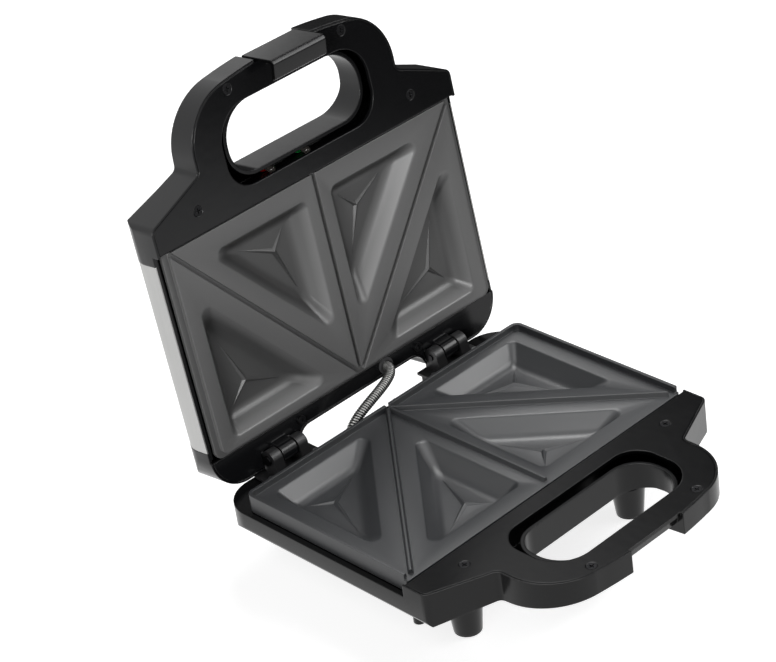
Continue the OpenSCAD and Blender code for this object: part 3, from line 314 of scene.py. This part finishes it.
# %% [markdown]
# Shade is painted between the turns of the lead's strip. Its mesh, made further down, holds
# a number at each point that says how deep in a groove the point lies, and this finish darkens
# the steel by that number, as painted shade in the grooves.


# %% Wound strip
def wound(name, crest, groove_shade):
    f = Finish(name)
    groove = f.node("ShaderNodeAttribute", {"attribute_name": "groove"}, output="Fac")
    grain = f.noise(900, 3)
    return f.close(
        # Painted shade: the deeper a point lies in a groove, the darker the steel.
        Base_Color=f.blend(groove * 1.3 + grain * 0.2, crest, groove_shade),
        Roughness=grain * 0.1 + 0.34,
        Metallic=1.0,
    )


# The second colour is the painted shade in the grooves.
wound_steel = wound("wound_steel", (0.42, 0.42, 0.41), (0.03, 0.03, 0.03))
print("lead's strip", wound_steel.name)

# %% [markdown]
# ## Rubber, ceramic, glass braid and lenses
#
# The small parts are each one plain stuff. Rubber is black and almost without gloss. Ceramic is
# warm white with a faint grain. The wires have a sleeve of braided glass, which a wave texture
# crossed with noise suggests at this size. The two lenses are clear coloured plastic over a
# lamp.


# %% Small stuffs
def plain(name, dark, light, sheen, **more):
    f = Finish(name)
    grain = f.noise(1400, 3)
    return f.close(
        Base_Color=f.blend(grain, dark, light),
        Roughness=grain * 0.10 + sheen,
        Normal=f.bump(grain, mm(0.04), 0.7, mm(0.25)),
        **more,
    )


def braided(name, dark, light):
    f = Finish(name)
    strands = f.node(
        "ShaderNodeTexWave",
        {"bands_direction": "DIAGONAL"},
        {"Vector": f.place(), "Scale": 420.0, "Distortion": 3.0, "Detail": 1.0},
        output=1,
    )
    return f.close(
        Base_Color=f.blend(strands, dark, light),
        Roughness=0.9 - strands * 0.1,
        Normal=f.bump(strands, mm(0.1), 0.8),
    )


rubber = plain("rubber", (0.012, 0.012, 0.013), (0.024, 0.024, 0.025), 0.62)
ceramic = plain("ceramic", (0.66, 0.64, 0.57), (0.78, 0.76, 0.70), 0.55)
glass_braid = braided("glass_braid", (0.50, 0.46, 0.36), (0.74, 0.70, 0.60))
lens_red = plain("lens_red", (0.34, 0.006, 0.005), (0.42, 0.012, 0.010), 0.10, Coat_Weight=0.6)
lens_green = plain("lens_green", (0.010, 0.22, 0.04), (0.016, 0.28, 0.06), 0.10, Coat_Weight=0.6)
bulb_glass = plain(
    "bulb_glass", (0.10, 0.09, 0.08), (0.15, 0.14, 0.13), 0.10, Transmission_Weight=0.6
)
print("small stuffs", rubber.name, ceramic.name, glass_braid.name, bulb_glass.name)

# %% [markdown]
# ## Dressing the frame
#
# Every solid in the frame names the material slot it was drawn for. A table from slot to finish
# dresses them all. The screws of the covers and of the rear frame and the pins are blackened
# where the other screws are plated, so a short list of names comes before the table.

# %% Slot to finish
finish_of_slot = {
    "gloss_black_plastic": gloss_black,
    "hinge_black_plastic": hinge_black,
    "nonstick_lower": coating_lower,
    "nonstick_upper": coating_upper,
    "brushed_steel": brushed_steel,
    "zinc_steel": plated_steel,
    "element_sheath": heater_sheath,
    "reflector_sheet": bright_sheet,
    "conduit_steel": wound_steel,
    "rubber_black": rubber,
    "ceramic_white": ceramic,
    "wire_sleeve": glass_braid,
    "lens_red": lens_red,
    "lens_green": lens_green,
    "bulb_glass": bulb_glass,
}
blackened = (
    "base_cover_screws",
    "lid_cover_screws",
    "rear_frame_screws",
    "hinge_pins",
    "latch_pin",
)

for name, node in nodes.items():
    finish = blackened_steel if name in blackened else finish_of_slot[slot_of[name]]
    node.data.materials.clear()
    node.data.materials.append(finish)
print("dressed", len(nodes), "solids,", len(blackened), "of them blackened")

# %% [markdown]
# ## Smooth where the metal is smooth
#
# A solid comes with its curved faces cut into flats. The cast pockets are pressed in one sweep
# and show no flats, so the faces are welded, shaded smooth, and split again only along edges
# that turn sharply. Modifiers do this on top of the solid, whose shape stays as it was drawn.


# %% Weld and split by angle
weld_gap = mm(0.002)
sharp_turn = math.radians(24)


def smooth(node):
    mesh = node.data
    if "custom_normal" in mesh.attributes:
        mesh.attributes.remove(mesh.attributes["custom_normal"])
    mesh.polygons.foreach_set("use_smooth", [True] * len(mesh.polygons))
    node.modifiers.new("weld", "WELD").merge_threshold = weld_gap
    split = node.modifiers.new("split", "EDGE_SPLIT")
    split.split_angle = sharp_turn
    split.use_edge_sharp = False


for node in nodes.values():
    smooth(node)
print("smoothed", len(nodes), "solids")

# %% [markdown]
# ## The spring-wound lead
#
# Power crosses the hinge in two wires inside a conduit, a steel strip wound as tight as a
# closed spring so that it can bend without kinking. The route runs straight up out of the base,
# over in one curve and into the lid. A tube would be enough for its outline, but the winding is
# what the eye reads, so each turn is a small round ridge: a ring of points is swept along the
# route and its radius rises and falls once for each turn of the strip.

# %% The route, from inside the base to inside the lid
lead_radius = mm(3.2)
lead_in = mm(-25, 77.3, 48)
lead_controls = [
    mm(-25, 77.3, 57),
    mm(-25, 77.3, 72),
    mm(22, 71.82, 78.81),
    mm(22, 93.66, 76.13),
]
lead_end = mm(22, 100.6, 75.28)
curve_steps = 60
ring_gap = mm(0.18)


def curve_point(controls, s):
    """The point of a cubic curve at s, from 0 to 1."""
    a, b, c, d = controls
    r = 1 - s
    return r**3 * a + 3 * r * r * s * b + 3 * r * s * s * c + s**3 * d


def even_points(points, step):
    """Points at equal distances along a chain of points."""
    made, left = [points[0]], step
    for a, b in zip(points, points[1:]):
        run = (b - a).length
        while left <= run:
            made.append(a.lerp(b, left / run))
            left += step
        left -= run
    return made + [points[-1]]


bend = [curve_point(lead_controls, k / curve_steps) for k in range(curve_steps + 1)]
route = even_points([lead_in] + bend + [lead_end], ring_gap)
lead_length = sum((b - a).length for a, b in zip(route, route[1:]))
print("lead", round(1000 * lead_length, 1), "mm in", len(route), "steps")


# %% [markdown]
# The ring is turned from one step to the next by the smallest angle, so the tube doesn't twist.
# Each turn of the strip is 1.5 mm wide. The ridge leans as a spring's does, because the ring's
# own angle is taken off how far along the turn it is. How deep a point lies between two ridges
# is kept with the mesh, for the finish that paints shade into the grooves.

# %% The strip's own sizes
turn_width = mm(1.5)
groove_depth = mm(0.55)
ring_sides = 28


# %% Sweep a ridged ring along the route
def wound_tube(name, points, radius, pitch, depth, sides):
    axis = (points[1] - points[0]).normalized()
    side = axis.orthogonal().normalized()
    vertices, faces, grooves, travelled = [], [], [], 0.0
    for k, point in enumerate(points):
        ahead = points[min(k + 1, len(points) - 1)] - points[max(k - 1, 0)]
        turned = axis.rotation_difference(ahead.normalized())
        axis = ahead.normalized()
        side = (turned @ side).normalized()
        up = axis.cross(side)
        if k:
            travelled += (point - points[k - 1]).length
        for j in range(sides):
            angle = math.tau * j / sides
            phase = math.tau * (travelled / pitch) - angle
            groove = 1 - abs(math.cos(phase / 2))
            r = radius - depth * groove**1.5
            grooves.append(groove)
            vertices.append(point + r * (math.cos(angle) * side + math.sin(angle) * up))
    for k in range(len(points) - 1):
        for j in range(sides):
            a, b = k * sides + j, k * sides + (j + 1) % sides
            faces.append((a, b, b + sides, a + sides))
    last = (len(points) - 1) * sides
    faces.append(tuple(range(sides))[::-1])
    faces.append(tuple(last + j for j in range(sides)))
    mesh = bpy.data.meshes.new(name)
    mesh.from_pydata(vertices, [], faces)
    mesh.polygons.foreach_set("use_smooth", [True] * len(mesh.polygons))
    mesh.attributes.new("groove", "FLOAT", "POINT").data.foreach_set("value", grooves)
    made = bpy.data.objects.new(name, mesh)
    bpy.context.scene.collection.objects.link(made)
    return made


lead = wound_tube(
    "link_lead_winding", route, lead_radius, turn_width, groove_depth, ring_sides
)
lead.data.materials.append(wound_steel)
print("winding", len(lead.data.vertices), "points")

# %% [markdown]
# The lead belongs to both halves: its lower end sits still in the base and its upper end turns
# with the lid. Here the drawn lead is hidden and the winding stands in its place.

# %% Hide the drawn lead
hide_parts("link_lead")
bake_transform(lead)

# %% [markdown]
# ## A pale table
#
# The toaster stands on a plain white table that runs on into a white background. What a ray
# meets on the table depends on the ray:
#
# - The camera sees matt grey, which keeps the soft shadow that tells where the feet stand, with
#   a glow on top that brings it up to white. The glow grows with distance, so that the far table
#   meets the background without an edge.
# - A mirrored ray sees plain white up to a curtain at the right and almost nothing beyond it,
#   which keeps the gloss black dark on that side.
# - A ray that bounces off the table meets the matt grey alone, so the glow lights nothing.

# %% What the table is made of
white = (1, 1, 1, 1)
table_grey = (0.6, 0.6, 0.6, 1)
curtain_shade = 0.04
curtain_from, curtain_to = 0.36, 0.52
glow_near, glow_far = 0.82, 1.0
near, far = 0.35, 1.6


def white_table():
    f = Finish("white_table")
    matt = f.node("ShaderNodeBsdfDiffuse", None, {"Color": table_grey})
    away = f.node("ShaderNodeVectorMath", {"operation": "LENGTH"}, {0: f.place()}, output=1)
    brightness = f.slope(away, near, far, glow_near, glow_far)
    glow = f.node("ShaderNodeEmission", None, {"Color": white, "Strength": brightness})
    lit = f.node("ShaderNodeAddShader", None, {0: matt, 1: glow})
    across = f.node("ShaderNodeSeparateXYZ", None, {"Vector": f.place()})
    curtain = f.slope(across, curtain_from, curtain_to, 1.0, curtain_shade)
    mirror = f.node("ShaderNodeEmission", None, {"Color": white, "Strength": curtain})
    straight = f.ray("Camera") + f.ray("Transmission")
    unmirrored = f.node("ShaderNodeMixShader", None, {0: straight, 1: matt, 2: lit})
    mixed = f.node("ShaderNodeMixShader", None, {0: f.ray("Glossy"), 1: unmirrored, 2: mirror})
    f.node("ShaderNodeOutputMaterial", None, {"Surface": mixed})
    return f.material


# %% Table top
reach = 6.0
corners = [(-reach, -reach, 0), (reach, -reach, 0), (reach, reach, 0), (-reach, reach, 0)]
top_mesh = bpy.data.meshes.new("table_top")
top_mesh.from_pydata(corners, [], [(0, 1, 2, 3)])
top_mesh.materials.append(white_table())
table_top = bpy.data.objects.new("table_top", top_mesh)
bpy.context.scene.collection.objects.link(table_top)
print("table", 2 * reach, "m across")

# %% [markdown]
# ## Studio light
#
# Black gloss is lit by what it mirrors, so the lamps are large square panels. One stands at the
# right front, one hangs high behind and rakes over the pockets of the lower plate, and a weak
# one on the left keeps the dark sides readable. A fourth stands low on the left and is meant for
# the lid. A studio would shade the base from it with a flag; here light linking names the pieces
# that it lights.


# %% Panels of light
def panel(name, place, aim, size, power):
    light = bpy.data.lights.new(name, "AREA")
    light.size = size
    light.energy = power
    lamp = bpy.data.objects.new(name, light)
    lamp.location = place
    lamp.rotation_mode = "QUATERNION"
    lamp.rotation_quaternion = (aim - Vector(place)).to_track_quat("-Z", "Y")
    bpy.context.scene.collection.objects.link(lamp)
    return lamp


middle, lid_middle = mm(0, 0, 110), mm(0, 100, 180)
panel("right", (1.5, -1.2, 1.5), middle, size=1.1, power=24)
panel("back", (0.6, 0.8, 2.3), middle, size=1.0, power=26)
panel("left", (-1.4, -0.4, 1.5), middle, size=1.0, power=10)
side = panel("side", (-1.5, -0.75, 0.75), lid_middle, size=0.6, power=36)
print("panels at", middle[:], "and", lid_middle[:])

# %% The lid alone gets the fourth
flagged = bpy.data.collections.new("lit_by_side")
for name in frame["record"]["behaviour"]["bodies"]["lid"]:
    flagged.objects.link(nodes[name])
side.light_linking.receiver_collection = flagged

# %% [markdown]
# The world is white where the camera looks past the toaster, and so dim for every other ray
# that the panels, not the sky, model the pockets. The gloss mirrors it white on the left and
# behind the same curtain on the right. For the world the curtain is a direction, so its place
# is the share of a ray's direction that points to +X.

# %% The world round the studio
sky_light = 0.08
curtain_turn_from, curtain_turn_to = 0.53, 0.61
world = bpy.data.worlds.new("studio")
bpy.context.scene.world = world
w = Network(world)
toward = w.node("ShaderNodeTexCoord", output="Generated")
across = w.node("ShaderNodeSeparateXYZ", None, {"Vector": toward})
curtain = w.slope(across, curtain_turn_from, curtain_turn_to, 1.0, curtain_shade)
backdrop = w.node("ShaderNodeBackground", None, {"Color": white, "Strength": 1.0})
sky = w.node("ShaderNodeBackground", None, {"Color": white, "Strength": sky_light})
mirror = w.node("ShaderNodeBackground", None, {"Color": white, "Strength": curtain})
straight = w.ray("Camera") + w.ray("Transmission")
unmirrored = w.node("ShaderNodeMixShader", None, {0: straight, 1: sky, 2: backdrop})
mixed = w.node("ShaderNodeMixShader", None, {0: w.ray("Glossy"), 1: unmirrored, 2: mirror})
w.node("ShaderNodeOutputWorld", None, {"Surface": mixed})
print("world", world.name)

# %% [markdown]
# ## Camera
#
# A long lens from the left front, tipped a little, looks down on the open toaster, so that both
# plates and the handle are seen at once. Its place is a distance and two angles from a target
# point on its axis. Its focal length is given in pixels of an image 776 pixels wide, and is
# turned into millimetres on the sensor.

# %% Camera
azimuth, elevation, tip = (math.radians(v) for v in (-39.88, 30.78, -8.47))
target = mm(-177.63, -153.43, 288.58)
distance = mm(1195.88)
focal_pixels, image_width, sensor = 2591.98, 776, 36.0
back = Vector(
    (
        math.sin(azimuth) * math.cos(elevation),
        -math.cos(azimuth) * math.cos(elevation),
        math.sin(elevation),
    )
)
lens = bpy.data.cameras.new("camera")
lens.sensor_width = sensor
lens.lens = focal_pixels * sensor / image_width
lens.clip_start, lens.clip_end = 0.05, 50
camera = bpy.data.objects.new("camera", lens)
camera.location = target + distance * back
camera.rotation_mode = "QUATERNION"
level = (-back).to_track_quat("-Z", "Y")
camera.rotation_quaternion = level @ Quaternion((0, 0, 1), tip)
bpy.context.scene.collection.objects.link(camera)
bpy.context.scene.camera = camera
bpy.context.scene.view_settings.view_transform = "Standard"
print("camera at", [round(v, 3) for v in camera.location], "lens", round(lens.lens, 1))
